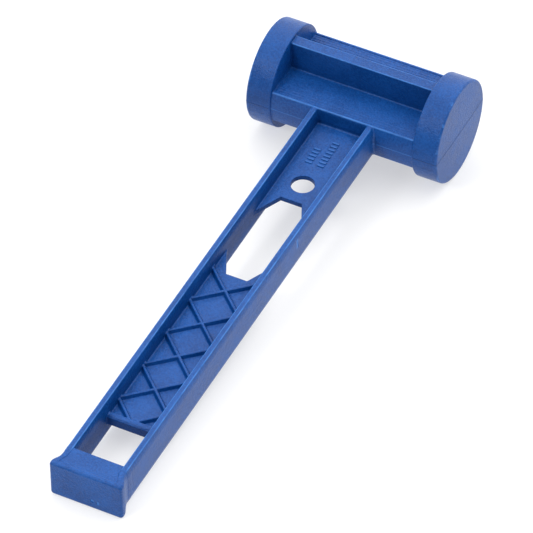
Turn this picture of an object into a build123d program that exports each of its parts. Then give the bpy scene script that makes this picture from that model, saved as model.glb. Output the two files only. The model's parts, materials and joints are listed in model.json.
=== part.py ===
"""One-piece moulded camping mallet, split into the members of the moulding.

Mould frame used while modelling: X runs along the head, Y runs from the butt
of the handle (negative) to the head (origin on the head's own axis) and Z is
the draw direction of the two-plate mould, with the parting plane at Z = 0.
The finished members are then laid down the way the tool rests on a table,
on both disc rims and the lower edge of the butt.
"""
import math
import os

from build123d import *

os.makedirs("parts", exist_ok=True)

# ---------------------------------------------------------------- dimensions
HEAD_LENGTH = 98.6        # over the two striking faces
DISC_RADIUS = 25.3        # striking discs
DISC_THICKNESS = 13.0
DISC_EDGE = 1.0           # rounding of the outer disc edge
DISC_INNER_EDGE = 0.4     # rounding of the edge toward the handle root

DECK_RADIUS = 24.4        # round outer wall of the decks between the discs
DECK_HALF = 8.8           # deck height above and below the parting plane
DECK_RECESS = 0.5         # shallow recess of the deck surface
DECK_RIM = 2.4            # width left standing along the outer wall

FIN_HEIGHT = 23.2         # centre wall, above and below the parting plane
FIN_TIP = 2.85            # half thickness at the tip
FIN_ROOT = 3.15           # half thickness at the deck

HANDLE_END = 273.3        # parting-plane distance from head axis to end face
FLANGE_X_HEAD = 15.4      # half width over the flange lands at the head
FLANGE_X_BUTT = 14.9      # half width over the flange lands at the butt
FLANGE_H_HEAD = 8.8       # half height of the flanges at the head
FLANGE_H_BUTT = 9.7       # half height of the flanges at the butt
FLANGE_LAND = 2.4         # width of the flat land along each flange edge
FLANGE_BEVEL_X = 0.9      # the bevel beside the land widens the flange by this on each side
FLANGE_BEVEL_Z = 2.0      # height of the bevel
FLANGE_DRAFT = 0.1        # draft of each flange face, from the bevel to the parting plane
FLANGE_EDGE = 0.4         # rounding of the flange edges

WEB_HALF = 1.3            # half thickness of the web
HOLE_Y = 63.7             # hanging hole
HOLE_RADIUS = 5.5
SLOT_Y0 = 75.3            # eight-sided slot, head end
SLOT_Y1 = 129.9           # eight-sided slot, butt end
SLOT_FLAT = 5.3           # half width of the slot's end edges
SLOT_CHAMFER_X = 7.0
SLOT_CHAMFER_Y = 14.6

LATTICE_FIRST = 141.0     # first crossing of the diamond ribs
LATTICE_PITCH = 22.5
LATTICE_HALF_WIDTH = 12.3
RIB_WIDTH = 2.0
RIB_TOP = 3.1             # rib height above the parting plane

CROSS_RIB_Y0 = 229.3
CROSS_RIB_Y1 = 232.2

BUTT_START = 260.5
BUTT_STRAIGHT = 264.5     # end of the straight part of the block
BUTT_X_END = 17.8         # half width of the flared end face
BUTT_H_END = 9.9          # half height of the flared end face
BUTT_EDGE = 1.6           # rounding of the four long corners of the end face

MARK_BAR = (3.4, 1.1, 0.45)   # length, width, height of one plain raised bar
MARK_PITCH = 2.3
MARK_Y_END = 50.2         # both rows of bars end here, toward the butt
MARK_ROWS = ((-4.1, 5), (2.0, 8))   # x of each row and its number of bars
MARK_PAD_HEIGHT = 0.12    # thin pad that the bars stand on
MARK_MARGIN = 1.5         # pad left around the bars

# ------------------------------------------------------------- rest position
DISC_X_INNER = HEAD_LENGTH / 2 - DISC_THICKNESS
CORNER_REACH = math.hypot(HANDLE_END, BUTT_H_END)
REST_TILT = math.asin(DISC_RADIUS / CORNER_REACH) - math.atan2(BUTT_H_END, HANDLE_END)
Y_LOW = -HANDLE_END * math.cos(REST_TILT) - BUTT_H_END * math.sin(REST_TILT)
REST_SHIFT = Location((0, -(DISC_RADIUS + Y_LOW) / 2, DISC_RADIUS))
REST = REST_SHIFT * Location((0, 0, 0), (math.degrees(REST_TILT), 0, 0))


def box(x0, x1, y0, y1, z0, z1):
    """Axis-aligned block between the given limits."""
    size = (x1 - x0, y1 - y0, z1 - z0)
    centre = ((x0 + x1) / 2, (y0 + y1) / 2, (z0 + z1) / 2)
    return Location(centre) * Box(*size)


def section_y(points, y):
    """Face in the XZ plane at the given Y, from (x, z) points."""
    return make_face(Polyline(*[(x, y, z) for x, z in points], close=True))


def prism_x(points, x0, x1):
    """Solid of constant (y, z) section between two X positions."""
    face = make_face(Polyline(*[(x0, y, z) for y, z in points], close=True))
    return extrude(face, amount=x1 - x0, dir=(1, 0, 0))


def plate_z(points, half):
    """Plate of the given outline (x, y), centred on the parting plane."""
    face = make_face(Polyline(*[(x, y, -half) for x, y in points], close=True))
    return extrude(face, amount=2 * half, dir=(0, 0, 1))


def flange_half_width(y):
    """Half width over the flanges at the distance y from the head axis."""
    return FLANGE_X_HEAD + (FLANGE_X_BUTT - FLANGE_X_HEAD) * y / BUTT_START


def flange_half_height(y):
    """Half height of the flanges at the distance y from the head axis."""
    start = DECK_RADIUS
    share = (y - start) / (BUTT_START - start)
    return FLANGE_H_HEAD + (FLANGE_H_BUTT - FLANGE_H_HEAD) * share


# ---------------------------------------------------------------------- head
def striking_disc(side):
    """End disc of the head, closed and solid."""
    disc = Rot(0, 90, 0) * Cylinder(DISC_RADIUS, DISC_THICKNESS)
    disc = Location((side * (HEAD_LENGTH - DISC_THICKNESS) / 2, 0, 0)) * disc
    rims = disc.edges().filter_by(GeomType.CIRCLE).sort_by(Axis.X)
    outer, inner = (rims[-1], rims[0]) if side > 0 else (rims[0], rims[-1])
    disc = fillet(outer, DISC_EDGE)
    inner = disc.edges().filter_by(GeomType.CIRCLE).sort_by(Axis.X)
    return fillet(inner[0] if side > 0 else inner[-1], DISC_INNER_EDGE)


def centre_wall():
    """Upright wall that joins the discs, above and below the parting plane."""
    points = [(-FIN_TIP, -FIN_HEIGHT), (FIN_TIP, -FIN_HEIGHT), (FIN_ROOT, 0)]
    points += [(FIN_TIP, FIN_HEIGHT), (-FIN_TIP, FIN_HEIGHT), (-FIN_ROOT, 0)]
    wall = prism_x(points, -DISC_X_INNER, DISC_X_INNER)
    tips = wall.edges().filter_by(Axis.X).group_by(Axis.Z)
    return fillet(tips[0] + tips[-1], 0.4)


def deck_blank():
    """Round-sided deck between the discs, before the centre wall is taken out."""
    barrel = Rot(0, 90, 0) * Cylinder(DECK_RADIUS, 2 * DISC_X_INNER)
    deck = barrel & Box(HEAD_LENGTH, 3 * DECK_RADIUS, 2 * DECK_HALF)
    reach = math.sqrt(DECK_RADIUS ** 2 - DECK_HALF ** 2) - DECK_RIM
    for side in (1, -1):
        cut = Box(2 * DISC_X_INNER, 2 * reach, 2 * DECK_RECESS)
        deck -= Location((0, 0, side * DECK_HALF)) * cut
    return deck


# -------------------------------------------------------------------- handle
def flange_section(side, y):
    """Drafted section of one flange, at the distance y from the head axis."""
    middle = flange_half_width(y) - FLANGE_LAND / 2
    high = flange_half_height(y)
    land = FLANGE_LAND / 2
    wide = land + FLANGE_BEVEL_X
    shoulder = high - FLANGE_BEVEL_Z
    outer = [(land, -high), (wide, -shoulder), (wide + FLANGE_DRAFT, 0), (wide, shoulder), (land, high)]
    inner = [(-x, z) for x, z in reversed(outer)]
    return section_y([(side * (middle + x), z) for x, z in outer + inner], -y)


def flange(side):
    """Side rail of the handle, run into the round wall of the deck."""
    start = DECK_RADIUS - 8.0
    rail = loft([flange_section(side, start), flange_section(side, BUTT_START)], ruled=True)
    long_edges = rail.edges().filter_by(lambda e: e.length > 200)
    rims = [e for e in long_edges if abs(e.center().Z) > FLANGE_H_HEAD - 0.5]
    rail = fillet(rims, FLANGE_EDGE)
    barrel = Rot(0, 90, 0) * Cylinder(DECK_RADIUS, 2 * DISC_X_INNER)
    return rail - barrel


def slot_outline():
    """Outline of the eight-sided slot, wide enough to reach past the flanges."""
    y0, y1 = -SLOT_Y0, -SLOT_Y1
    wide = SLOT_FLAT + 2 * SLOT_CHAMFER_X
    deep = 2 * SLOT_CHAMFER_Y
    points = [(-SLOT_FLAT, y0), (SLOT_FLAT, y0), (wide, y0 - deep), (wide, y1 + deep)]
    points += [(SLOT_FLAT, y1), (-SLOT_FLAT, y1), (-wide, y1 + deep), (-wide, y0 - deep)]
    return points


def web(y0, y1, rails):
    """Flat web between the rails, from y0 to y1 behind the head axis."""
    wide = FLANGE_X_HEAD - FLANGE_LAND / 2
    plate = box(-wide, wide, -y1, -y0, -WEB_HALF, WEB_HALF)
    plate -= plate_z(slot_outline(), 2 * WEB_HALF)
    for rail in rails:
        plate -= rail
    barrel = Rot(0, 90, 0) * Cylinder(DECK_RADIUS, 2 * DISC_X_INNER)
    return plate - barrel


def lattice(side, rails, stop):
    """Diamond ribs standing on one face of the grip web."""
    z0, z1 = (WEB_HALF, RIB_TOP) if side > 0 else (-RIB_TOP, -WEB_HALF)
    half_pitch = LATTICE_PITCH / 2
    ribs = None
    for row in range(5):
        y = -(LATTICE_FIRST + row * LATTICE_PITCH)
        for lean in (1, -1):
            angle = math.degrees(math.atan2(lean * half_pitch, LATTICE_HALF_WIDTH))
            length = 2.4 * math.hypot(LATTICE_HALF_WIDTH, half_pitch)
            bar = Location((0, y, (z0 + z1) / 2), (0, 0, angle)) * Box(length, RIB_WIDTH, z1 - z0)
            ribs = bar if ribs is None else ribs + bar
    wide = flange_half_width(LATTICE_FIRST)
    top = LATTICE_FIRST - half_pitch - RIB_WIDTH
    ribs &= box(-wide, wide, -CROSS_RIB_Y0, -top, -RIB_TOP, RIB_TOP)
    for rail in rails + [stop]:
        ribs -= rail
    return ribs


def cross_rib(rails):
    """Low rib that closes the grip web in front of the end opening."""
    wide = FLANGE_X_HEAD - FLANGE_LAND / 2
    rib = box(-wide, wide, -CROSS_RIB_Y1, -CROSS_RIB_Y0, -RIB_TOP, RIB_TOP)
    for rail in rails:
        rib -= rail
    return rib


def butt_section(half_x, half_z, y):
    """Rounded rectangular section of the butt block."""
    plane = Plane(origin=(0, -y, 0), x_dir=(1, 0, 0), z_dir=(0, -1, 0))
    return plane * RectangleRounded(2 * half_x, 2 * half_z, BUTT_EDGE)


def butt_block():
    """Solid end block, flared sideways to stop the hand sliding off."""
    span = HANDLE_END - BUTT_STRAIGHT
    stations = [(0.0, 0.0), (0.35, 0.12), (0.7, 0.55), (0.86, 0.9), (1.0, 1.0)]
    w0, h0 = FLANGE_X_BUTT + FLANGE_BEVEL_X, FLANGE_H_BUTT
    sections = [butt_section(w0, h0, BUTT_START)]
    for along, flare in stations:
        half_x = w0 + (BUTT_X_END - w0) * flare
        half_z = h0 + (BUTT_H_END - h0) * flare
        sections.append(butt_section(half_x, half_z, BUTT_STRAIGHT + span * along))
    return loft(sections, ruled=True)


def moulded_mark():
    """Two rows of plain raised bars on a thin pad, in place of lettering."""
    long, wide, proud = MARK_BAR
    bars = None
    for x, count in MARK_ROWS:
        y1 = -MARK_Y_END + (count - 1) * MARK_PITCH + wide + MARK_MARGIN
        pad = box(
            x - long / 2 - MARK_MARGIN, x + long / 2 + MARK_MARGIN,
            -MARK_Y_END - MARK_MARGIN, y1, WEB_HALF, WEB_HALF + MARK_PAD_HEIGHT)
        bars = pad if bars is None else bars + pad
        for column in range(count):
            y = -MARK_Y_END + column * MARK_PITCH
            bars += box(x - long / 2, x + long / 2, y, y + wide, WEB_HALF, WEB_HALF + proud)
    return bars


# ------------------------------------------------------------------ assembly
fin = centre_wall()
deck = deck_blank()
far = 2 * HEAD_LENGTH
deck_front = (deck - fin) & box(-far, far, -far, 0, -far, far)
deck_back = (deck - fin) & box(-far, far, 0, far, -far, far)
rail_left = flange(-1)
rail_right = flange(1)
rails = [rail_left, rail_right]
web_neck = web(DECK_RADIUS - 2.0, (SLOT_Y0 + SLOT_Y1) / 2, rails)
web_neck -= Location((0, -HOLE_Y, 0)) * Cylinder(HOLE_RADIUS, 6 * WEB_HALF)
web_grip = web((SLOT_Y0 + SLOT_Y1) / 2, CROSS_RIB_Y0, rails)
rib = cross_rib(rails)

nodes = {
    "striking_disc_left": striking_disc(-1),
    "striking_disc_right": striking_disc(1),
    "head_centre_wall": fin,
    "head_deck_front": deck_front,
    "head_deck_back": deck_back,
    "handle_flange_left": rail_left,
    "handle_flange_right": rail_right,
    "handle_web_neck": web_neck,
    "handle_web_grip": web_grip,
    "grip_lattice_top": lattice(1, rails, rib),
    "grip_lattice_bottom": lattice(-1, rails, rib),
    "handle_cross_rib": rib,
    "butt_block": butt_block(),
    "moulded_mark": moulded_mark(),
}

for name, shape in nodes.items():
    placed = REST * shape
    placed.label = name
    solids = placed.solids()
    print(name, len(solids), round(placed.volume, 1), placed.bounding_box())
    export_step(placed, os.path.join("parts", name + ".step"))
print("rest tilt", math.degrees(REST_TILT), "shift", REST.position)
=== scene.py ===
"""Looks of a one-piece moulded camping mallet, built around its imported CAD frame.

The moulding is described once, as a signed distance in the mould frame (millimetres: X along the
head, Y from the butt to the head, Z along the draw of the mould). Each CAD node's stretch of it is
meshed, cut by planes close to the node's limits, closed, and given the exact surface normals, so
that the members read as one moulding.
"""
import json
import math

import bmesh
import bpy
import numpy as np
from mathutils import Matrix, Vector
from mathutils.geometry import delaunay_2d_cdt


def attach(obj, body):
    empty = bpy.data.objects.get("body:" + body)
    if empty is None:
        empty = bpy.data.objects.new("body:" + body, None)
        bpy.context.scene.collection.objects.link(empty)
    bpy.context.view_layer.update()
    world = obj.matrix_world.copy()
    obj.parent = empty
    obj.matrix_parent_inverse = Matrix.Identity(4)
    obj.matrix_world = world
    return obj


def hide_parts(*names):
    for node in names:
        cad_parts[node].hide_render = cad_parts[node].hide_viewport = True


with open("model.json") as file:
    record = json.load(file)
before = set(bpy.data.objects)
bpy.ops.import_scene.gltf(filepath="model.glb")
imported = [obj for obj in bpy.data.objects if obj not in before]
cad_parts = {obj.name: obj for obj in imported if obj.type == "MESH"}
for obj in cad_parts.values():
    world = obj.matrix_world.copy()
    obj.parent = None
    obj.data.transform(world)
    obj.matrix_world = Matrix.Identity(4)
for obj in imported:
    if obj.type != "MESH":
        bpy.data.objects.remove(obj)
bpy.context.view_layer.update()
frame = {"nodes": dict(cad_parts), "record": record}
record = frame["record"]
MM = 0.001

# ------------------------------------------------------------ mould frame
mounts = {m["name"]: m for m in record["mounts"]}
hole_axis = Vector(mounts["hang_hole"]["axis"])
face_right = Vector(mounts["striking_face_right"]["pos_m"])
face_left = Vector(mounts["striking_face_left"]["pos_m"])
HEAD_CENTRE = (face_right + face_left) / 2
REST_TILT = math.atan2(-hole_axis.y, hole_axis.z)
MOULD_TO_WORLD = (
    Matrix.Translation(HEAD_CENTRE) @ Matrix.Rotation(REST_TILT, 4, "X") @ Matrix.Scale(MM, 4))
WORLD_TO_MOULD = MOULD_TO_WORLD.inverted()


def node_points(name):
    """Vertices of a CAD node in the mould frame, in millimetres."""
    mesh = frame["nodes"][name].data
    points = np.empty(3 * len(mesh.vertices), np.float32)
    mesh.vertices.foreach_get("co", points)
    move = np.array(WORLD_TO_MOULD)
    return points.reshape(-1, 3) @ move[:3, :3].T + move[:3, 3]


disc = node_points("striking_disc_right")
wall = node_points("head_centre_wall")
deck = node_points("head_deck_front")
rail = node_points("handle_flange_right")
neck = node_points("handle_web_neck")
ribs = node_points("grip_lattice_top")
stop = node_points("handle_cross_rib")
butt = node_points("butt_block")
NECK_Y = (-40.0, -16.0)       # stretch of the handle beside the head
rail_head = rail[rail[:, 1] > NECK_Y[0]]
rail_butt = rail[rail[:, 1] < rail[:, 1].min() + 1]

# ------------------------------------------------------------ dimensions, mm
SEAM_HEIGHT = 0.09            # flash left along the parting line of the head
SEAM_HALF = 0.34
OVERLAP = 3.0                 # how far a hidden end runs on inside its neighbour

FACE_X = float(disc[:, 0].max()) - SEAM_HEIGHT
DISC_X = float(disc[:, 0].min())
DISC_R = float(disc[:, 2].max()) - SEAM_HEIGHT
DISC_EDGE = 1.0
DISC_INNER_EDGE = 0.45
DISC_FILLET = 0.5
FACE_CROWN = 0.25             # the striking faces are slightly domed
FACE_DRAFT = 0.008            # and fall away from the parting plane by this slope
DECK_R = float(-deck[:, 1].min())
DECK_HALF = float(deck[:, 2].max())
DECK_RECESS = 0.5
DECK_RIM = 1.3
DECK_EDGE = 0.4
DECK_SIDE = math.sqrt(DECK_R ** 2 - DECK_HALF ** 2)   # half width of the deck's top
WALL_HALF = float(wall[:, 1].max())
WALL_TOP = float(wall[:, 2].max())
WALL_DRAFT = 0.3
WALL_EDGE = 0.3
WALL_FILLET = 0.7

RAIL_LAND = 2.4
RAIL_BEVEL_X = 0.9
RAIL_BEVEL_Z = 2.0
RAIL_DRAFT = 0.1
RAIL_EDGE = 0.3
RAIL_SHOULDER = 0.6           # rounding between the bevel and the face of a rail
RAIL_FILLET = 0.7
RAIL_SINK = 0.8               # the rails start this far inside the deck's round wall
RAIL_FROM = 10.0              # and no nearer than this to the head's axis
RAIL_X0 = float(rail_head[:, 0].max()) - RAIL_BEVEL_X - RAIL_DRAFT
RAIL_X1 = float(rail_butt[:, 0].max()) - RAIL_BEVEL_X - RAIL_DRAFT
RAIL_H0 = float(rail_head[:, 2].max())
RAIL_H1 = float(rail_butt[:, 2].max())
BUTT_START = float(-rail[:, 1].min())
NECK_FILLET = 0.9
NECK_X = 20.0                 # half width of the place where nothing may rise above the rails
WEB_HALF = float(neck[:, 2].max())
WEB_SIDE = 14.0               # the web ends inside the rails, this far from its middle
WEB_SINK = 5.0                # and this far inside the head
OPENING_EDGE = 0.3
HOLE_Y = float(np.linalg.norm(Vector(mounts["hang_hole"]["pos_m"]) - HEAD_CENTRE) / MM)
HOLE_R = float(mounts["hang_hole"]["dims"]["r_mm"])
SLOT_FLAT = 5.3
SLOT_RISE = 14.6 / 7.0        # slope of the slot's slanting sides
SLOT_Y0 = 75.3
SLOT_Y1 = 129.9
RIB_TOP = float(ribs[:, 2].max())
RIB_HALF = 0.5                # half width at the top of a rib
RIB_FLANK = 0.5               # widening per millimetre of depth
RIB_FIRST = 141.0
RIB_PITCH = 22.5
RIB_REACH = 12.3              # from the middle of the web to where the ribs cross at its side
RIB_SLOPE = 0.5 * RIB_PITCH / RIB_REACH
RIB_LEAD = 1.3                # the first ribs reach this far past their middle line
RIB_EDGE = 0.3
RIB_FILLET = 0.35
STOP_Y0 = float(-stop[:, 1].max())
STOP_Y1 = float(-stop[:, 1].min())
STOP_CHAMFER = 1.0
STOP_CHAMFER_SCALE = 0.7      # turns a step along Y or Z into about the distance from its slope
STOP_EDGE = 0.35
STOP_FILLET = 0.4
END_Y = float(-butt[:, 1].min())
FLARE_START = 264.0
FLARE_END = 271.4
BUTT_X = float(butt[:, 0].max())
BUTT_H = float(butt[:, 2].max())
BUTT_CORNER = 1.6
BUTT_END_EDGE = 1.2
BUTT_INNER_EDGE = 0.3
BUTT_FILLET = 0.25
TRAY_DEPTH = 0.34             # shallow recess in the top of the end block
TRAY_STEP = 0.3
TRAY_LIP = 2.2
TRAY_NARROWER = 1.0           # its sides spread this much less than the block's

# Marks left by use and by the mould. A place along the handle is a distance from the head's axis.
NICK_Y = 0.6                  # in the rim of the right striking face
NICK_INSET = 0.2
NICK_R = 0.8
DENT_X = 13.3                 # on the land of the right rail
DENT_AT = 113.4
DENT_R = 0.55
DENT_STRETCH = 2.2
DENT_LIFT = 0.25
SCRATCH_X = 16.35             # across the outer face of the right rail
SCRATCH_AT = 101.1
SCRATCH_Z = 3.8
SCRATCH_R = 0.42
SCRATCH_HALF = 2.6
SCRATCH_LEAN = 0.3
GATE_LONG = (5.8, -5.4)       # the two gate pits on the end face, as X and Z
GATE_LONG_R = 0.55
GATE_LONG_STRETCH = 1.5
GATE_ROUND = (3.0, -5.0)
GATE_ROUND_R = 0.8
GATE_DEPTH = 0.25
TOOL_MARK_Y = (17.4, 19.1, 20.6)
TOOL_MARK_HALF = 0.22
TOOL_MARK_HEIGHT = 0.1
MARK_BAR = (3.4, 1.1)         # length and width of one plain raised bar
MARK_BAR_EDGE = 0.25
MARK_PITCH = 2.3
MARK_Y_END = 50.2
MARK_ROWS = ((-4.1, 5), (2.0, 8))   # X of each row and its number of bars
MARK_CENTRE = (-1.0, -40.5)   # X and Y of the field that holds both rows, and its half sizes
MARK_FIELD = (5.0, 10.5)


# ------------------------------------------------------------ distance tools
def round_and(a, b, r):
    """Intersection of two solids with the convex edge rounded to radius r."""
    return np.minimum(-r, np.maximum(a, b)) + np.hypot(np.maximum(r + a, 0), np.maximum(r + b, 0))


def fillet_or(a, b, r):
    """Union of two solids with a fillet of radius r in the corner."""
    return np.maximum(r, np.minimum(a, b)) - np.hypot(np.maximum(r - a, 0), np.maximum(r - b, 0))


def smooth(t):
    """Smooth step from 0 to 1."""
    t = np.clip(t, 0, 1)
    return t * t * (3 - 2 * t)


def along_handle(y, start, end):
    """Value that changes evenly from the head to the butt block."""
    share = (-y - DECK_R) / (BUTT_START - DECK_R)
    return start + (end - start) * share


# ------------------------------------------------------------ the moulding
def head(x, y, z):
    """Two striking discs, the deck between them and the upright wall along its middle."""
    ax, ay, az = np.abs(x), np.abs(y), np.abs(z)
    radius = np.hypot(y, z)
    crown = FACE_CROWN * (radius / DISC_R) ** 2
    ends = round_and(radius - DISC_R, ax - FACE_X + crown + FACE_DRAFT * az, DISC_EDGE)
    ends = round_and(ends, DISC_X - ax, DISC_INNER_EDGE)
    nick = np.sqrt((ax - FACE_X + NICK_INSET) ** 2 + (y - NICK_Y) ** 2 + (z - DISC_R) ** 2) - NICK_R
    ends = np.maximum(ends, np.where(x > 0, -nick, -1.0))
    rim_inner = DECK_SIDE - DECK_RIM
    level = DECK_HALF - DECK_RECESS * (1 - smooth((ay - rim_inner) / DECK_EDGE))
    plate = round_and(radius - DECK_R, az - level, DECK_EDGE)
    wall_side = ay - WALL_HALF + WALL_DRAFT * az / WALL_TOP
    fin = round_and(wall_side, az - WALL_TOP, WALL_EDGE)
    middle = np.maximum(fillet_or(plate, fin, WALL_FILLET), ax - DISC_X - OVERLAP)
    return fillet_or(ends, middle, DISC_FILLET)


def rail_side(beyond, az, high):
    """One side of a rail, measured outward from the edge of its land: a bevel, then a drafted face."""
    face = beyond - RAIL_BEVEL_X - RAIL_DRAFT * (1 - az / high)
    bevel = beyond * RAIL_BEVEL_Z + (az - high) * RAIL_BEVEL_X
    return round_and(face, bevel / math.hypot(RAIL_BEVEL_X, RAIL_BEVEL_Z), RAIL_SHOULDER)


def handle(x, y, z):
    """Two bevelled rails and the web between them, ending inside the head and the butt block."""
    ax, az, d = np.abs(x), np.abs(z), -y
    half = along_handle(y, RAIL_X0, RAIL_X1)
    high = along_handle(y, RAIL_H0, RAIL_H1)
    sides = np.maximum(rail_side(ax - half, az, high), rail_side(half - RAIL_LAND - ax, az, high))
    rails = round_and(sides, az - high, RAIL_EDGE)
    rails = np.maximum(rails, DECK_R - RAIL_SINK - np.hypot(y, z))
    rails = np.maximum(rails, np.maximum(d - BUTT_START - OVERLAP, RAIL_FROM - d))
    dent = (x - DENT_X) ** 2 + ((d - DENT_AT) / DENT_STRETCH) ** 2 + (z - high - DENT_LIFT) ** 2
    dent = np.sqrt(dent) - DENT_R
    scratch = np.hypot(x - SCRATCH_X, d - SCRATCH_AT - SCRATCH_LEAN * (z - SCRATCH_Z)) - SCRATCH_R
    scratch = np.maximum(scratch, np.abs(z - SCRATCH_Z) - SCRATCH_HALF)
    marks = np.where(x > 0, -np.minimum(dent, scratch), -1.0)
    return fillet_or(np.maximum(rails, marks), web(x, y, z), RAIL_FILLET)


def web(x, y, z):
    """Flat web with the hanging hole, the eight-sided slot and the diamond ribs of the grip."""
    ax, az, d = np.abs(x), np.abs(z), -y
    lean = math.hypot(1, SLOT_RISE)
    slant = np.maximum(SLOT_Y0 - d, d - SLOT_Y1) + (ax - SLOT_FLAT) * SLOT_RISE
    slot = np.maximum(np.maximum(SLOT_Y0 - d, d - SLOT_Y1), slant / lean)
    hole = np.hypot(x, d - HOLE_Y) - HOLE_R
    plate = round_and(az - WEB_HALF, -np.minimum(slot, hole), OPENING_EDGE)
    turn = 1 / math.hypot(1, RIB_SLOPE)
    rib = None
    for lean_x in (x, -x):
        row = (d - RIB_FIRST + RIB_SLOPE * lean_x) / RIB_PITCH
        gap = np.abs(row - np.round(row)) * RIB_PITCH * turn
        rib = gap if rib is None else np.minimum(rib, gap)
    rib = (rib - RIB_HALF - RIB_FLANK * (RIB_TOP - az)) / math.hypot(1, RIB_FLANK)
    first = (RIB_FIRST - RIB_SLOPE * ax - d) * turn - RIB_LEAD
    rib = np.maximum(round_and(rib, az - RIB_TOP, RIB_EDGE), np.maximum(first, d - STOP_Y1 + 1))
    plate = fillet_or(plate, rib, RIB_FILLET)
    chamfer = STOP_CHAMFER_SCALE * (d - STOP_Y1 + az - RIB_TOP + STOP_CHAMFER)
    closing = np.maximum(np.maximum(STOP_Y0 - d, d - STOP_Y1), chamfer)
    closing = round_and(closing, az - RIB_TOP, STOP_EDGE)
    plate = np.maximum(plate, np.maximum(DECK_R - WEB_SINK - d, d - (STOP_Y0 + STOP_Y1) / 2))
    return np.maximum(fillet_or(plate, closing, STOP_FILLET), ax - WEB_SIDE)


def butt_block(x, y, z):
    """Solid end block: the outline of the rails, flared to a rounded rectangle at the end face."""
    ax, az, d = np.abs(x), np.abs(z), -y
    flare = smooth((d - FLARE_START) / (FLARE_END - FLARE_START))
    land = RAIL_X1 + (BUTT_X - TRAY_NARROWER - RAIL_X1) * flare - RAIL_LAND
    tray = smooth((land - ax) / TRAY_STEP) * smooth((END_Y - TRAY_LIP - d) / TRAY_STEP)
    drop = TRAY_DEPTH * tray
    start = round_and(rail_side(ax - RAIL_X1, az, RAIL_H1), az - RAIL_H1 + drop, RAIL_EDGE)
    qx = ax - BUTT_X + BUTT_CORNER
    qz = az - BUTT_H + drop + BUTT_CORNER
    end = np.hypot(np.maximum(qx, 0), np.maximum(qz, 0)) + np.minimum(np.maximum(qx, qz), 0)
    end = end - BUTT_CORNER
    block = round_and(start + (end - start) * flare, d - END_Y, BUTT_END_EDGE)
    long_gate = np.hypot(x - GATE_LONG[0], (z - GATE_LONG[1]) / GATE_LONG_STRETCH) - GATE_LONG_R
    round_gate = np.hypot(x - GATE_ROUND[0], z - GATE_ROUND[1]) - GATE_ROUND_R
    pit = np.maximum(np.minimum(long_gate, round_gate), END_Y - GATE_DEPTH - d)
    return round_and(np.maximum(block, -pit), BUTT_START - d, BUTT_INNER_EDGE)


def moulding(x, y, z):
    """Signed distance of the whole tool, in millimetres."""
    shaft = fillet_or(handle(x, y, z), butt_block(x, y, z), BUTT_FILLET)
    body = fillet_or(head(x, y, z), shaft, NECK_FILLET)
    at_neck = (y > NECK_Y[0]) & (y < NECK_Y[1]) & (np.abs(x) < NECK_X)
    lid = np.abs(z) - along_handle(y, RAIL_H0, RAIL_H1)
    return np.maximum(body, np.where(at_neck, lid, -1.0))


def gradient(p, step=0.02):
    """Gradient of the distance at points, from central differences."""
    x, y, z = p.T
    g = np.stack([
        moulding(x + step, y, z) - moulding(x - step, y, z),
        moulding(x, y + step, z) - moulding(x, y - step, z),
        moulding(x, y, z + step) - moulding(x, y, z - step),
    ], axis=1) / (2 * step)
    return g


# ------------------------------------------------------------ meshing
MARGIN = 2                    # room round the tool, mm
CUT_CELLS = 3                 # cells meshed past each cut
PULL_ROUNDS = 4               # rounds of pulling the points onto the surface
LONGEST_PULL = 0.4            # in each round, in cells
LEAST_SLOPE = 0.2             # least squared gradient that a pull is divided by
WELD = 1e-5
FLAT = 0.999                  # cosine that tells the flat cuts from the surface
CUT_TOLERANCE = 1e-3


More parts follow.
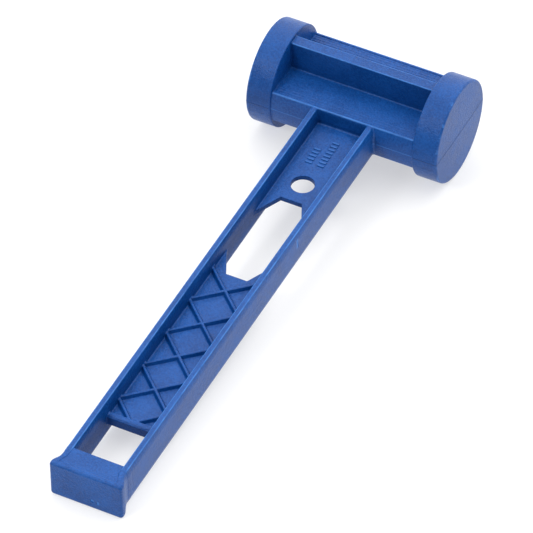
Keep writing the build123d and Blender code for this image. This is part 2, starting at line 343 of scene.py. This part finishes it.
def surface_net(low, high, cell):
    """Vertices and quads of the surface inside a box, pulled onto the true surface."""
    counts = [int(math.ceil((b - a) / cell)) + 1 for a, b in zip(low, high)]
    axes = [a + cell * np.arange(n, dtype=np.float64) for a, n in zip(low, counts)]
    value = moulding(axes[0][:, None, None], axes[1][None, :, None], axes[2][None, None, :])
    for axis in range(3):
        for end in (0, -1):
            edge = [slice(None)] * 3
            edge[axis] = end
            value[tuple(edge)] = np.maximum(value[tuple(edge)], 0.5 * cell)
    inside = value < 0
    corner = [(i, j, k) for i in (0, 1) for j in (0, 1) for k in (0, 1)]
    shape = [n - 1 for n in counts]

    def shifted(a, i, j, k):
        return a[i:i + shape[0], j:j + shape[1], k:k + shape[2]]

    total = sum(shifted(inside, *c).astype(np.int8) for c in corner)
    cells = np.argwhere((total > 0) & (total < 8))
    index = np.full(shape, -1, np.int64)
    index[tuple(cells.T)] = np.arange(len(cells))
    sums = np.zeros((len(cells), 3))
    hits = np.zeros(len(cells))
    for a in corner:
        for axis in range(3):
            if a[axis]:
                continue
            b = list(a)
            b[axis] = 1
            va = value[tuple((cells + a).T)]
            vb = value[tuple((cells + b).T)]
            cross = (va < 0) != (vb < 0)
            share = np.where(cross, va / np.where(cross, va - vb, 1), 0)
            point = np.repeat(np.array([a], float), len(cells), 0)
            point[:, axis] = share
            sums[cross] += point[cross]
            hits[cross] += 1
    points = np.array(low) + cell * (cells + sums / hits[:, None])
    quads = []
    for axis in range(3):
        u, v = [(1, 2), (2, 0), (0, 1)][axis]
        near = [slice(1, -1)] * 3
        near[axis] = slice(0, -1)
        far = list(near)
        far[axis] = slice(1, None)
        a, b = inside[tuple(near)], inside[tuple(far)]
        for flip in (False, True):
            where = np.argwhere((b & ~a) if flip else (a & ~b))
            where += [0 if i == axis else 1 for i in range(3)]
            ring = []
            for du, dv in ((-1, -1), (0, -1), (0, 0), (-1, 0)):
                at = where.copy()
                at[:, u] += du
                at[:, v] += dv
                ring.append(index[tuple(at.T)])
            ring = np.stack(ring, 1)
            quads.append(ring[:, ::-1] if flip else ring)
    quads = np.concatenate(quads)
    free = ((cells > 0) & (cells < np.array(shape) - 1)).all(1)
    for _ in range(PULL_ROUNDS):
        g = gradient(points[free])
        size = np.maximum((g ** 2).sum(1), LEAST_SLOPE)
        move = -g * (moulding(*points[free].T) / size)[:, None]
        points[free] += np.clip(move, -LONGEST_PULL * cell, LONGEST_PULL * cell)
    return points, quads[(quads >= 0).all(1)]


def set_normals(mesh, plain):
    """Gives the surface its exact normals; faces whose index is in plain stay flat."""
    points = np.empty(3 * len(mesh.vertices))
    mesh.vertices.foreach_get("co", points)
    move = np.array(WORLD_TO_MOULD)
    normal = gradient(points.reshape(-1, 3) @ move[:3, :3].T + move[:3, 3])
    turn = np.array(MOULD_TO_WORLD.to_3x3()) / MM
    normal = normal @ turn.T
    normal /= np.maximum(np.linalg.norm(normal, axis=1), 1e-9)[:, None]
    corner = np.empty(len(mesh.loops), np.int32)
    mesh.loops.foreach_get("vertex_index", corner)
    loops = normal[corner]
    for face in mesh.polygons:
        if face.index in plain:
            loops[face.loop_start:face.loop_start + face.loop_total] = face.normal
    mesh.normals_split_custom_set(loops.tolist())


def close_cut(bm, edges, axis, way):
    """Fills the flat cut that the edges outline, holes and islands included."""
    if not edges:
        return
    verts = list({v for e in edges for v in e.verts})
    index = {v: i for i, v in enumerate(verts)}
    u, v = [(1, 2), (2, 0), (0, 1)][axis]
    flat = [Vector((p.co[u], p.co[v])) for p in verts]
    pairs = [(index[e.verts[0]], index[e.verts[1]]) for e in edges]
    made = delaunay_2d_cdt(flat, pairs, [], 0, 1e-7)
    points = np.array([p[:] for p in made[0]])
    source = made[3]
    triangles = np.array(made[2])
    a, b = np.array([flat[i] for i, _ in pairs]), np.array([flat[j] for _, j in pairs])
    centre = points[triangles].mean(1)
    px, py = centre[:, 0][:, None], centre[:, 1][:, None]
    spans = (a[:, 1] > py) != (b[:, 1] > py)
    rise = np.where(b[:, 1] == a[:, 1], 1, b[:, 1] - a[:, 1])
    reach = a[:, 0] + (py - a[:, 1]) * (b[:, 0] - a[:, 0]) / rise
    inside = (spans & (px < reach)).sum(1) % 2 == 1
    for triangle in triangles[inside]:
        if any(not source[i] for i in triangle):
            continue
        corners = [verts[source[i][0]] for i in triangle]
        if way < 0:
            corners.reverse()
        if len(set(corners)) == 3 and bm.faces.get(corners) is None:
            bm.faces.new(corners)


def member(name, limits, cell, keep):
    """One CAD node's stretch of the moulding, as a closed piece of its own."""
    low = [-FACE_X - MARGIN, -END_Y - MARGIN, -DISC_R - MARGIN]
    high = [FACE_X + MARGIN, DISC_R + MARGIN, DISC_R + MARGIN]
    planes = []
    for axis, (a, b) in enumerate(limits):
        if a is not None:
            low[axis] = a - CUT_CELLS * cell
            planes.append((axis, a, -1))
        if b is not None:
            high[axis] = b + CUT_CELLS * cell
            planes.append((axis, b, 1))
    points, quads = surface_net(low, high, cell)
    mesh = bpy.data.meshes.new(name + "_skin")
    mesh.from_pydata(points.tolist(), [], quads.tolist())
    piece = bpy.data.objects.new(name + "_skin", mesh)
    bpy.context.scene.collection.objects.link(piece)
    thin = piece.modifiers.new("thin", "DECIMATE")
    thin.ratio = keep
    thin.use_collapse_triangulate = True
    ready = piece.evaluated_get(bpy.context.evaluated_depsgraph_get())
    bm = bmesh.new()
    bm.from_mesh(ready.data)
    piece.modifiers.remove(thin)
    for axis, at, way in planes:
        normal = Vector((0, 0, 0))
        normal[axis] = way
        cut = bmesh.ops.bisect_plane(
            bm, geom=bm.verts[:] + bm.edges[:] + bm.faces[:], dist=1e-6,
            plane_co=normal * at * way, plane_no=normal, clear_outer=True)
        edges = [e for e in cut["geom_cut"] if isinstance(e, bmesh.types.BMEdge)]
        close_cut(bm, edges, axis, way)
    bmesh.ops.remove_doubles(bm, verts=bm.verts[:], dist=WELD)
    bmesh.ops.transform(bm, matrix=MOULD_TO_WORLD, verts=bm.verts[:])
    bm.to_mesh(mesh)
    bm.free()
    mesh.update()
    caps = set()
    turn = WORLD_TO_MOULD.to_3x3() * MM
    for face in mesh.polygons:
        normal = turn @ face.normal
        centre = WORLD_TO_MOULD @ face.center
        for axis, at, way in planes:
            if normal[axis] * way > FLAT and abs(centre[axis] - at) < CUT_TOLERANCE:
                caps.add(face.index)
        face.use_smooth = True
    set_normals(mesh, caps)
    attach(piece, "root")
    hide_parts(name)
    return piece


# Planes at which the moulding is cut into its members
CUT_DISC = DISC_X - 0.3
CUT_WALL = WALL_HALF + 0.45
CUT_NECK = -DECK_R - 0.2
CUT_RAIL = 10.4
CUT_RIB = WEB_HALF + 0.06
CUT_SLOT = -(SLOT_Y0 + SLOT_Y1) / 2
CUT_STOP = -STOP_Y0 + 0.7
CUT_OPENING = -STOP_Y1 - 3.0
CUT_BUTT = -BUTT_START + 0.8

ANY = (None, None)
BETWEEN_DISCS = (-CUT_DISC, CUT_DISC)
BETWEEN_RAILS = (-CUT_RAIL, CUT_RAIL)
ALONG_RAILS = (CUT_BUTT, CUT_NECK)
ALONG_GRIP = (CUT_STOP, CUT_SLOT)

# Each node's limits along X, Y and Z, the size of its meshing cells, and the share of triangles kept
MEMBERS = {
    "striking_disc_left": (((None, -CUT_DISC), ANY, ANY), 0.5, 0.3),
    "striking_disc_right": (((CUT_DISC, None), ANY, ANY), 0.5, 0.3),
    "head_centre_wall": ((BETWEEN_DISCS, (-CUT_WALL, CUT_WALL), ANY), 0.4, 0.15),
    "head_deck_front": ((BETWEEN_DISCS, (CUT_NECK, -CUT_WALL), ANY), 0.35, 0.15),
    "head_deck_back": ((BETWEEN_DISCS, (CUT_WALL, None), ANY), 0.35, 0.15),
    "handle_flange_left": (((None, -CUT_RAIL), ALONG_RAILS, ANY), 0.35, 0.15),
    "handle_flange_right": (((CUT_RAIL, None), ALONG_RAILS, ANY), 0.35, 0.15),
    "handle_web_neck": ((BETWEEN_RAILS, (CUT_SLOT, CUT_NECK), ANY), 0.35, 0.25),
    "handle_web_grip": ((BETWEEN_RAILS, ALONG_GRIP, (-CUT_RIB, CUT_RIB)), 0.35, 0.25),
    "grip_lattice_top": ((BETWEEN_RAILS, ALONG_GRIP, (CUT_RIB, None)), 0.25, 0.3),
    "grip_lattice_bottom": ((BETWEEN_RAILS, ALONG_GRIP, (None, -CUT_RIB)), 0.25, 0.3),
    "handle_cross_rib": ((BETWEEN_RAILS, (CUT_OPENING, CUT_STOP), ANY), 0.25, 0.3),
    "butt_block": ((ANY, (None, CUT_BUTT), ANY), 0.25, 0.25),
}


# ------------------------------------------------------------ material
BLUE_DEEP = (0.0020, 0.050, 0.225, 1)
BLUE_PALE = (0.0070, 0.083, 0.335, 1)
SEAM_DARK = (0.004, 0.040, 0.170, 1)
# pale blue for scuffs and for painted highlights
SCUFF_AND_HIGHLIGHT_PALE = (0.055, 0.210, 0.600, 1)
SHADE_NAVY = (0.0010, 0.018, 0.095, 1)
PLASTIC_IOR = 1.49
SHEEN = (0.26, 0.10)          # specular level, in the open and in a recess
CLOUD_SCALE = 70.0            # scales of the noise textures, per metre
EDGE_PATCH_SCALE = 110.0
PATCH_SCALE = 240.0
GRAIN_SCALE = 1150.0
SPECK_SCALE = 2600.0
GRAIN_DEPTH = 0.00024
CHANNEL_SIDE = 12.6           # half width of the channel between the rails, mm


def node(tree, kind, **values):
    """Adds a shader node and sets its properties and named inputs."""
    item = tree.nodes.new(kind)
    for name, value in values.items():
        if hasattr(item, name):
            setattr(item, name, value)
        else:
            item.inputs[name.replace("_", " ")].default_value = value
    return item


def ramp(tree, source, low, high, start=0.0, end=1.0):
    """Maps a socket's range low..high to start..end, clamped; returns the new socket."""
    item = node(tree, "ShaderNodeMapRange", From_Min=low, From_Max=high, To_Min=start, To_Max=end)
    tree.links.new(source, item.inputs["Value"])
    return item.outputs["Result"]


def maths(tree, operation, *sources):
    """Math node on sockets and plain numbers; returns its output."""
    item = node(tree, "ShaderNodeMath", operation=operation)
    for socket, source in zip(item.inputs, sources):
        if isinstance(source, (int, float)):
            socket.default_value = source
        else:
            tree.links.new(source, socket)
    return item.outputs[0]


def noise(tree, where, scale, detail, roughness):
    """Noise texture at a place; returns its value socket."""
    item = node(tree, "ShaderNodeTexNoise", Scale=scale, Detail=detail, Roughness=roughness)
    tree.links.new(where, item.inputs["Vector"])
    return item.outputs["Fac"]


def band(tree, source, centre, half, soft):
    """Mask of a strip in a length socket (metres); the limits are in millimetres."""
    away = maths(tree, "ABSOLUTE", maths(tree, "SUBTRACT", source, centre * MM))
    return ramp(tree, away, half * MM, (half + soft) * MM, 1.0, 0.0)


def product(tree, first, *others):
    """Product of mask sockets and plain numbers, the first of them a socket."""
    for other in others:
        first = maths(tree, "MULTIPLY", first, other)
    return first


def strongest(tree, first, *others):
    """Largest of several mask sockets at each point."""
    for other in others:
        first = maths(tree, "MAXIMUM", first, other)
    return first


def spot_and_bar_highlight_masks(tree, sideways, along, upward, height):
    """Pale places: the gate pits and a scratch on one rail, and a painted highlight on the tops of the
    raised bars.
    """
    soft = 0.2
    end = ramp(tree, along, -(END_Y - 0.6) * MM, -(END_Y - 0.3) * MM)
    long_gate = product(tree, band(tree, sideways, GATE_LONG[0], 0.45, soft),
                        band(tree, upward, GATE_LONG[1], 0.8, soft))
    round_gate = product(tree, band(tree, sideways, GATE_ROUND[0], 0.6, soft),
                         band(tree, upward, GATE_ROUND[1], 0.4, soft))
    gates = product(tree, strongest(tree, long_gate, round_gate), end)
    scratch = product(tree, band(tree, along, -SCRATCH_AT, 0.5, 0.6),
                      band(tree, upward, SCRATCH_Z, SCRATCH_HALF - 0.4, 0.8),
                      ramp(tree, sideways, (SCRATCH_X - 0.65) * MM, (SCRATCH_X - 0.45) * MM))
    # Painted highlight: the tops of the raised bars are paler.
    bars = product(tree, band(tree, along, MARK_CENTRE[1], MARK_FIELD[1], soft),
                   band(tree, sideways, MARK_CENTRE[0], MARK_FIELD[0], soft),
                   ramp(tree, height, (WEB_HALF + 0.15) * MM, (WEB_HALF + 0.4) * MM), 0.4)
    return strongest(tree, gates, scratch, bars)


def recess_mask(tree, across, along):
    """Steep faces in the handle's channel and between the discs, which get painted shade."""
    surface = node(tree, "ShaderNodeNewGeometry")
    facing = node(tree, "ShaderNodeVectorMath", operation="DOT_PRODUCT")
    tree.links.new(surface.outputs["Normal"], facing.inputs[0])
    facing.inputs[1].default_value = MOULD_TO_WORLD.to_3x3().col[2].normalized()
    steep = ramp(tree, maths(tree, "ABSOLUTE", facing.outputs["Value"]), 0.5, 0.85, 1.0, 0.0)
    middle = -(DECK_R + BUTT_START) / 2
    channel = product(tree, ramp(tree, across, CHANNEL_SIDE * MM, (CHANNEL_SIDE + 0.3) * MM, 1.0, 0.0),
                      band(tree, along, middle, (BUTT_START - DECK_R) / 2 + 1, 0.5))
    between = product(tree, ramp(tree, across, DISC_X * MM, (DISC_X + 0.1) * MM, 1.0, 0.0),
                      band(tree, along, 0.0, WALL_HALF + 0.6, 0.1), 0.7)
    return product(tree, steep, strongest(tree, channel, between))


def edge_highlight_masks(tree, across, along, height):
    """Strips painted pale as highlights along edges: deck rims, fin tips and rail lands."""
    between = ramp(tree, across, (DISC_X - 0.6) * MM, DISC_X * MM, 1.0, 0.0)
    depth = maths(tree, "ABSOLUTE", along)
    rim = product(tree, band(tree, depth, DECK_SIDE - 0.1, 0.3, 0.25), between,
                  ramp(tree, height, (DECK_HALF - 0.7) * MM, (DECK_HALF - 0.3) * MM))
    tip = product(tree, band(tree, depth, WALL_HALF - WALL_DRAFT - 0.1, 0.2, 0.2), between,
                  ramp(tree, height, (WALL_TOP - 0.6) * MM, (WALL_TOP - 0.25) * MM))
    share = ramp(tree, along, -DECK_R * MM, -BUTT_START * MM)
    edge = maths(tree, "ADD", across, product(tree, share, (RAIL_X0 - RAIL_X1) * MM))
    lift = maths(tree, "SUBTRACT", height, product(tree, share, (RAIL_H1 - RAIL_H0) * MM))
    lands = product(tree, strongest(tree, band(tree, edge, RAIL_X0 - 0.05, 0.16, 0.2),
                                    band(tree, edge, RAIL_X0 - RAIL_LAND + 0.05, 0.16, 0.2)),
                    ramp(tree, lift, (RAIL_H0 - 0.5) * MM, (RAIL_H0 - 0.2) * MM),
                    ramp(tree, along, -DECK_R * MM, -(DECK_R + 1.0) * MM),
                    ramp(tree, along, -FLARE_START * MM, -(FLARE_START - 3.0) * MM))
    return strongest(tree, rim, tip, lands)


def mixed(tree, factor, a, b):
    """Colour mix by a factor socket; a is a socket or a colour, b is a colour."""
    item = node(tree, "ShaderNodeMix", data_type="RGBA")
    tree.links.new(factor, item.inputs["Factor"])
    if isinstance(a, tuple):
        item.inputs["A"].default_value = a
    else:
        tree.links.new(a, item.inputs["A"])
    item.inputs["B"].default_value = b
    return item.outputs["Result"]


def seam_masks(tree, across, along, height, radius):
    """The parting plane: a dark line across the discs, and pale flash along the deck's wall."""
    line = ramp(tree, height, 0.18 * MM, 0.5 * MM, 1.0, 0.0)
    on_disc = ramp(tree, across, (DISC_X + 0.6) * MM, (DISC_X + 0.8) * MM)
    on_wall = product(tree, ramp(tree, across, DISC_X * MM, (DISC_X - 0.3) * MM),
                      ramp(tree, along, -(DECK_R + 1.0) * MM, -(DECK_R + 0.6) * MM),
                      ramp(tree, radius, DECK_R * MM, (DECK_R + 0.05) * MM))
    return product(tree, line, on_disc), product(tree, line, on_wall)


def scuffed_rims(tree, where, across, radius):
    """Patches rubbed pale on the outer edge of the striking discs."""
    rim = ramp(tree, radius, (DISC_R - 1.3) * MM, (DISC_R - 0.5) * MM)
    outer = ramp(tree, across, (FACE_X - 1.6) * MM, (FACE_X - 0.9) * MM)
    patchy = ramp(tree, noise(tree, where, PATCH_SCALE, 5.0, 0.7), 0.5, 0.66)
    return product(tree, rim, outer, patchy)


def moulded_plastic(name):
    """Satin blue polypropylene: fine eroded grain, faint clouding, a dark parting line and scuffs,
    with painted shade in recesses and painted highlights along edges and on the raised bars.
    """
    material = bpy.data.materials.new(name)
    material.use_nodes = True
    tree = material.node_tree
    shader = tree.nodes["Principled BSDF"]
    shader.inputs["IOR"].default_value = PLASTIC_IOR
    place = node(tree, "ShaderNodeTexCoord")
    mould = node(tree, "ShaderNodeMapping", vector_type="POINT")
    mould.inputs["Location"].default_value = WORLD_TO_MOULD.to_translation() * MM
    mould.inputs["Rotation"].default_value = (-REST_TILT, 0, 0)
    tree.links.new(place.outputs["Object"], mould.inputs["Vector"])
    where = mould.outputs["Vector"]
    parts = node(tree, "ShaderNodeSeparateXYZ")
    tree.links.new(where, parts.inputs["Vector"])
    sideways, along, upward = parts.outputs["X"], parts.outputs["Y"], parts.outputs["Z"]
    across = maths(tree, "ABSOLUTE", sideways)
    height = maths(tree, "ABSOLUTE", upward)
    flat = node(tree, "ShaderNodeCombineXYZ")
    tree.links.new(along, flat.inputs["Y"])
    tree.links.new(upward, flat.inputs["Z"])
    radial = node(tree, "ShaderNodeVectorMath", operation="LENGTH")
    tree.links.new(flat.outputs["Vector"], radial.inputs[0])
    radius = radial.outputs["Value"]

    clouds = noise(tree, where, CLOUD_SCALE, 4.0, 0.6)
    grain = noise(tree, where, GRAIN_SCALE, 2.5, 0.6)
    specks = noise(tree, where, SPECK_SCALE, 1.0, 0.5)
    tone = maths(tree, "ADD", product(tree, clouds, 0.4), product(tree, grain, 0.6))
    colour = mixed(tree, ramp(tree, tone, 0.40, 0.60), BLUE_DEEP, BLUE_PALE)

    # Painted shade: steep faces in recesses are darkened toward navy, more below the rib tops and
    # inside the head. The same mask lowers the specular level there.
    recess = recess_mask(tree, across, along)
    deep = ramp(tree, height, RIB_TOP * MM, (RIB_TOP + 0.4) * MM, 0.45, 0.24)
    beside_wall = ramp(tree, along, -DECK_R * MM, -(DECK_R - 1.0) * MM, 0.0, 0.2)
    shade = product(tree, recess, maths(tree, "ADD", deep, beside_wall))
    colour = mixed(tree, shade, colour, SHADE_NAVY)
    seam, flash = seam_masks(tree, across, along, height, radius)
    colour = mixed(tree, product(tree, seam, 0.85), colour, SEAM_DARK)
    # Noise that breaks up the painted edge highlights into patches.
    edge_patchiness = ramp(tree, noise(tree, where, EDGE_PATCH_SCALE, 3.0, 0.6), 0.35, 0.6, 0.35, 1.0)
    # Real scuffs, scratch, gate pits and flash, together with the painted edge and bar highlights, are
    # all mixed toward one pale blue.
    wear_and_highlights = strongest(
        tree, scuffed_rims(tree, where, across, radius),
        product(tree, edge_highlight_masks(tree, across, along, height), edge_patchiness),
        spot_and_bar_highlight_masks(tree, sideways, along, upward, height), product(tree, flash, 0.6))
    colour = mixed(tree, product(tree, wear_and_highlights, 0.85), colour, SCUFF_AND_HIGHLIGHT_PALE)
    tree.links.new(colour, shader.inputs["Base Color"])
    tree.links.new(ramp(tree, recess, 0.0, 1.0, *SHEEN), shader.inputs["Specular IOR Level"])
    gloss = maths(tree, "ADD", ramp(tree, clouds, 0.3, 0.7, 0.29, 0.37), product(tree, wear_and_highlights, 0.12))
    tree.links.new(gloss, shader.inputs["Roughness"])

    relief = maths(tree, "ADD", grain, product(tree, specks, 0.5))
    fine = node(tree, "ShaderNodeBump", Strength=0.9, Distance=GRAIN_DEPTH)
    tree.links.new(relief, fine.inputs["Height"])
    tree.links.new(fine.outputs["Normal"], shader.inputs["Normal"])
    return material


plastic = moulded_plastic("moulded_blue_plastic")


# ------------------------------------------------------------ pieces
for name, (limits, cell, keep) in MEMBERS.items():
    member(name, limits, cell, keep).data.materials.append(plastic)


def dress(mesh):
    """Makes a piece of the tool from a finished mesh."""
    piece = bpy.data.objects.new(mesh.name, mesh)
    bpy.context.scene.collection.objects.link(piece)
    mesh.materials.append(plastic)
    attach(piece, "root")
    return piece


# Section of a raised line, in half widths and heights: a low crown over a hidden keel
BEAD_SECTION = ((-1.0, -0.5), (-0.6, 0.7), (0.0, 1.0), (0.6, 0.7), (1.0, -0.5), (0.0, -3.0))
BEAD_CREASE = math.radians(60)


def bead(name, paths, half_width, height, across):
    """Low raised lines along paths of (point, normal, height factor), lying on the surface."""
    count = len(BEAD_SECTION)
    bm = bmesh.new()
    for path in paths:
        rings = []
        for point, normal, factor in path:
            ring = []
            for u, v in BEAD_SECTION:
                rise = Vector(normal) * (height * v * (factor if v > 0 else 1))
                ring.append(bm.verts.new(Vector(point) + Vector(across) * u * half_width + rise))
            rings.append(ring)
        for a, b in zip(rings, rings[1:]):
            for i in range(count):
                j = (i + 1) % count
                bm.faces.new((a[i], a[j], b[j], b[i]))
        bm.faces.new(rings[0][::-1])
        bm.faces.new(rings[-1])
    bmesh.ops.recalc_face_normals(bm, faces=bm.faces[:])
    bmesh.ops.transform(bm, matrix=MOULD_TO_WORLD, verts=bm.verts[:])
    mesh = bpy.data.meshes.new(name)
    bm.to_mesh(mesh)
    bm.free()
    mesh.shade_smooth()
    mesh.set_sharp_from_angle(angle=BEAD_CREASE)
    return dress(mesh)


SEAM_FROM_RAIL = 2.6          # the line starts this far outside the land of a rail
SEAM_STEP = 0.6               # distance between its points
SEAM_CLOSEST = 0.15
SEAM_ROUNDS = 6               # rounds of pulling the points onto the surface
SEAM_PULL = 0.8
SEAM_LEAST_SLOPE = 0.25
BLOB_RISE = 0.8               # the flash is this much higher where it starts beside a rail
BLOB_LENGTH = 0.9
FAR_FROM_RAIL = 9.0


def seam_path():
    """Line along the parting plane round the head, from one handle rail to the other."""
    start = RAIL_X0 + SEAM_FROM_RAIL
    corners = [
        (start, -DECK_R), (DISC_X, -DECK_R), (DISC_X, -DISC_R), (FACE_X, -DISC_R),
        (FACE_X, DISC_R), (DISC_X, DISC_R), (DISC_X, DECK_R)]
    corners += [(-x, y) for x, y in reversed(corners)]
    points = []
    for (x0, y0), (x1, y1) in zip(corners, corners[1:]):
        steps = max(1, round(math.hypot(x1 - x0, y1 - y0) / SEAM_STEP))
        for i in range(steps):
            points.append((x0 + (x1 - x0) * i / steps, y0 + (y1 - y0) * i / steps, 0.0))
    points.append((*corners[-1], 0.0))
    points = np.array(points)
    for _ in range(SEAM_ROUNDS):
        g = gradient(points)
        g[:, 2] = 0
        size = np.maximum((g ** 2).sum(1), SEAM_LEAST_SLOPE)
        points -= SEAM_PULL * g * (moulding(*points.T) / size)[:, None]
    normals = gradient(points)
    normals[:, 2] = 0
    normals /= np.linalg.norm(normals, axis=1)[:, None]
    path = []
    for point, normal in zip(points, normals):
        if not path or np.linalg.norm(point - path[-1][0]) > SEAM_CLOSEST:
            on_front_wall = point[1] < 0 and abs(point[1]) < DECK_R + 0.1
            run = abs(point[0]) - start if on_front_wall else FAR_FROM_RAIL
            path.append((point, normal, 1.0 + BLOB_RISE * math.exp(-(run / BLOB_LENGTH) ** 2)))
    return path


def tool_mark_paths():
    """Fine cutter lines of the mould, along the deck beside its rim."""
    reach = DISC_X + 0.2
    level = DECK_HALF - DECK_RECESS
    paths = []
    for side in (1, -1):
        for y in TOOL_MARK_Y:
            for up in (1, -1):
                line = [(x, side * y, up * level) for x in (-reach, 0.0, reach)]
                paths.append([(point, (0, 0, up), 1.0) for point in line])
    return paths


def rounded_bar(bm, centre, size, edge):
    """Low bar with rounded upper edges, standing on the web."""
    made = bmesh.ops.create_cube(bm, size=1.0)["verts"]
    for v in made:
        v.co = Vector(centre) + Vector([c * s for c, s in zip(v.co, size)])
    top = centre[2] + size[2] / 2 - 1e-6
    rims = {e for v in made for e in v.link_edges if all(u.co.z > top for u in e.verts)}
    bmesh.ops.bevel(bm, geom=list(rims), offset=edge, segments=3, affect="EDGES", profile=0.5)


def moulded_mark():
    """Two rows of plain raised bars, in place of lettering."""
    top = float(node_points("moulded_mark")[:, 2].max())
    base = WEB_HALF - 0.2
    bm = bmesh.new()
    for x, count in MARK_ROWS:
        for column in range(count):
            y = -MARK_Y_END + column * MARK_PITCH + MARK_BAR[1] / 2
            size = (*MARK_BAR, top - base)
            rounded_bar(bm, (x, y, (base + top) / 2), size, MARK_BAR_EDGE)
    bmesh.ops.transform(bm, matrix=MOULD_TO_WORLD, verts=bm.verts[:])
    mesh = bpy.data.meshes.new("moulded_mark_bars")
    bm.to_mesh(mesh)
    bm.free()
    mesh.shade_smooth()
    mesh.set_sharp_from_angle(angle=math.radians(50))
    piece = dress(mesh)
    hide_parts("moulded_mark")


moulded_mark()
bead("head_parting_line", [seam_path()], SEAM_HALF, SEAM_HEIGHT, (0, 0, 1))
bead("deck_tool_marks", tool_mark_paths(), TOOL_MARK_HALF, TOOL_MARK_HEIGHT, (0, 1, 0))


# ------------------------------------------------------------ stage, light, camera
FLOOR_HALF = 6.0
FLOOR_DROP = 0.0002           # keeps the floor just clear of what rests on it
FLOOR_GREY = (0.45, 0.45, 0.45, 1)
FLOOR_GLOW = 0.54


def floor():
    """Plain pale ground that glows a little, like a light table, so that shadows stay faint."""
    bm = bmesh.new()
    bmesh.ops.create_grid(bm, x_segments=4, y_segments=4, size=FLOOR_HALF)
    mesh = bpy.data.meshes.new("floor")
    bm.to_mesh(mesh)
    bm.free()
    ground = bpy.data.objects.new("floor", mesh)
    bpy.context.scene.collection.objects.link(ground)
    ground.location.z = -FLOOR_DROP
    material = bpy.data.materials.new("floor_white")
    material.use_nodes = True
    shader = material.node_tree.nodes["Principled BSDF"]
    shader.inputs["Base Color"].default_value = FLOOR_GREY
    shader.inputs["Roughness"].default_value = 0.9
    shader.inputs["Specular IOR Level"].default_value = 0.0
    shader.inputs["Emission Color"].default_value = (1, 1, 1, 1)
    shader.inputs["Emission Strength"].default_value = FLOOR_GLOW
    mesh.materials.append(material)


def lamp(name, at, target, size, power):
    """Square white area light aimed at a point."""
    light = bpy.data.lights.new(name, "AREA")
    light.size = size
    light.energy = power
    item = bpy.data.objects.new(name, light)
    item.location = at
    item.rotation_euler = (Vector(target) - Vector(at)).to_track_quat("-Z", "Y").to_euler()
    bpy.context.scene.collection.objects.link(item)


VIEW_AZIMUTH = math.radians(27.62)     # from the handle's line toward the right face
VIEW_ELEVATION = math.radians(45.28)   # above the plane of the web
VIEW_ROLL = math.radians(-1.03)
VIEW_DISTANCE = 2589.0                 # millimetres in the mould frame, like the target
VIEW_TARGET = Vector((8.42, -116.82, 0.0))
SENSOR = 36.0                          # millimetres, like the focal length
LENS = 389.273
FAR_CLIP = 50                          # metres


def camera():
    """Long-lens camera at the viewing angle, placed in the mould frame."""
    az, el = VIEW_AZIMUTH, VIEW_ELEVATION
    back = Vector((math.sin(az) * math.cos(el), -math.cos(az) * math.cos(el), math.sin(el)))
    right = Vector((math.cos(az), math.sin(az), 0))
    up = back.cross(right)
    level_right = right * math.cos(VIEW_ROLL) + up * math.sin(VIEW_ROLL)
    level_up = up * math.cos(VIEW_ROLL) - right * math.sin(VIEW_ROLL)
    turn = Matrix((level_right, level_up, back)).transposed()
    tilt = Matrix.Rotation(REST_TILT, 3, "X")
    data = bpy.data.cameras.new("view")
    data.sensor_width = SENSOR
    data.lens = LENS
    data.clip_end = FAR_CLIP
    item = bpy.data.objects.new("view", data)
    place = MOULD_TO_WORLD @ (VIEW_TARGET + back * VIEW_DISTANCE)
    item.matrix_world = Matrix.Translation(place) @ (tilt @ turn).to_4x4()
    bpy.context.scene.collection.objects.link(item)
    bpy.context.scene.camera = item


SKY_DARK = 0.20                # toward the viewer and low down
SKY_BRIGHT = 2.12              # high up behind
SKY_TOWARD = (0.06, 0.50, 0.86)
SKY_FULL = 0.95                # how nearly a direction points there when the light is full


def sky():
    """Soft surrounding light that grows from the viewer's side toward the back."""
    world = bpy.data.worlds.new("studio")
    bpy.context.scene.world = world
    world.use_nodes = True
    tree = world.node_tree
    direction = node(tree, "ShaderNodeTexCoord")
    facing = node(tree, "ShaderNodeVectorMath", operation="DOT_PRODUCT")
    tree.links.new(direction.outputs["Generated"], facing.inputs[0])
    facing.inputs[1].default_value = SKY_TOWARD
    strength = ramp(tree, facing.outputs["Value"], 0.0, SKY_FULL, SKY_DARK, SKY_BRIGHT)
    background = tree.nodes["Background"]
    background.inputs["Color"].default_value = (1, 1, 1, 1)
    tree.links.new(strength, background.inputs["Strength"])


def lighting():
    """The surrounding light, with a small soft lamp above the viewer for the edges."""
    sky()
    lamp("edge_light", at=(-0.55, -1.15, 1.15), target=(0, 0, 0.02), size=0.4, power=9)
    bpy.context.scene.view_settings.view_transform = "Standard"


floor()
lighting()
camera()
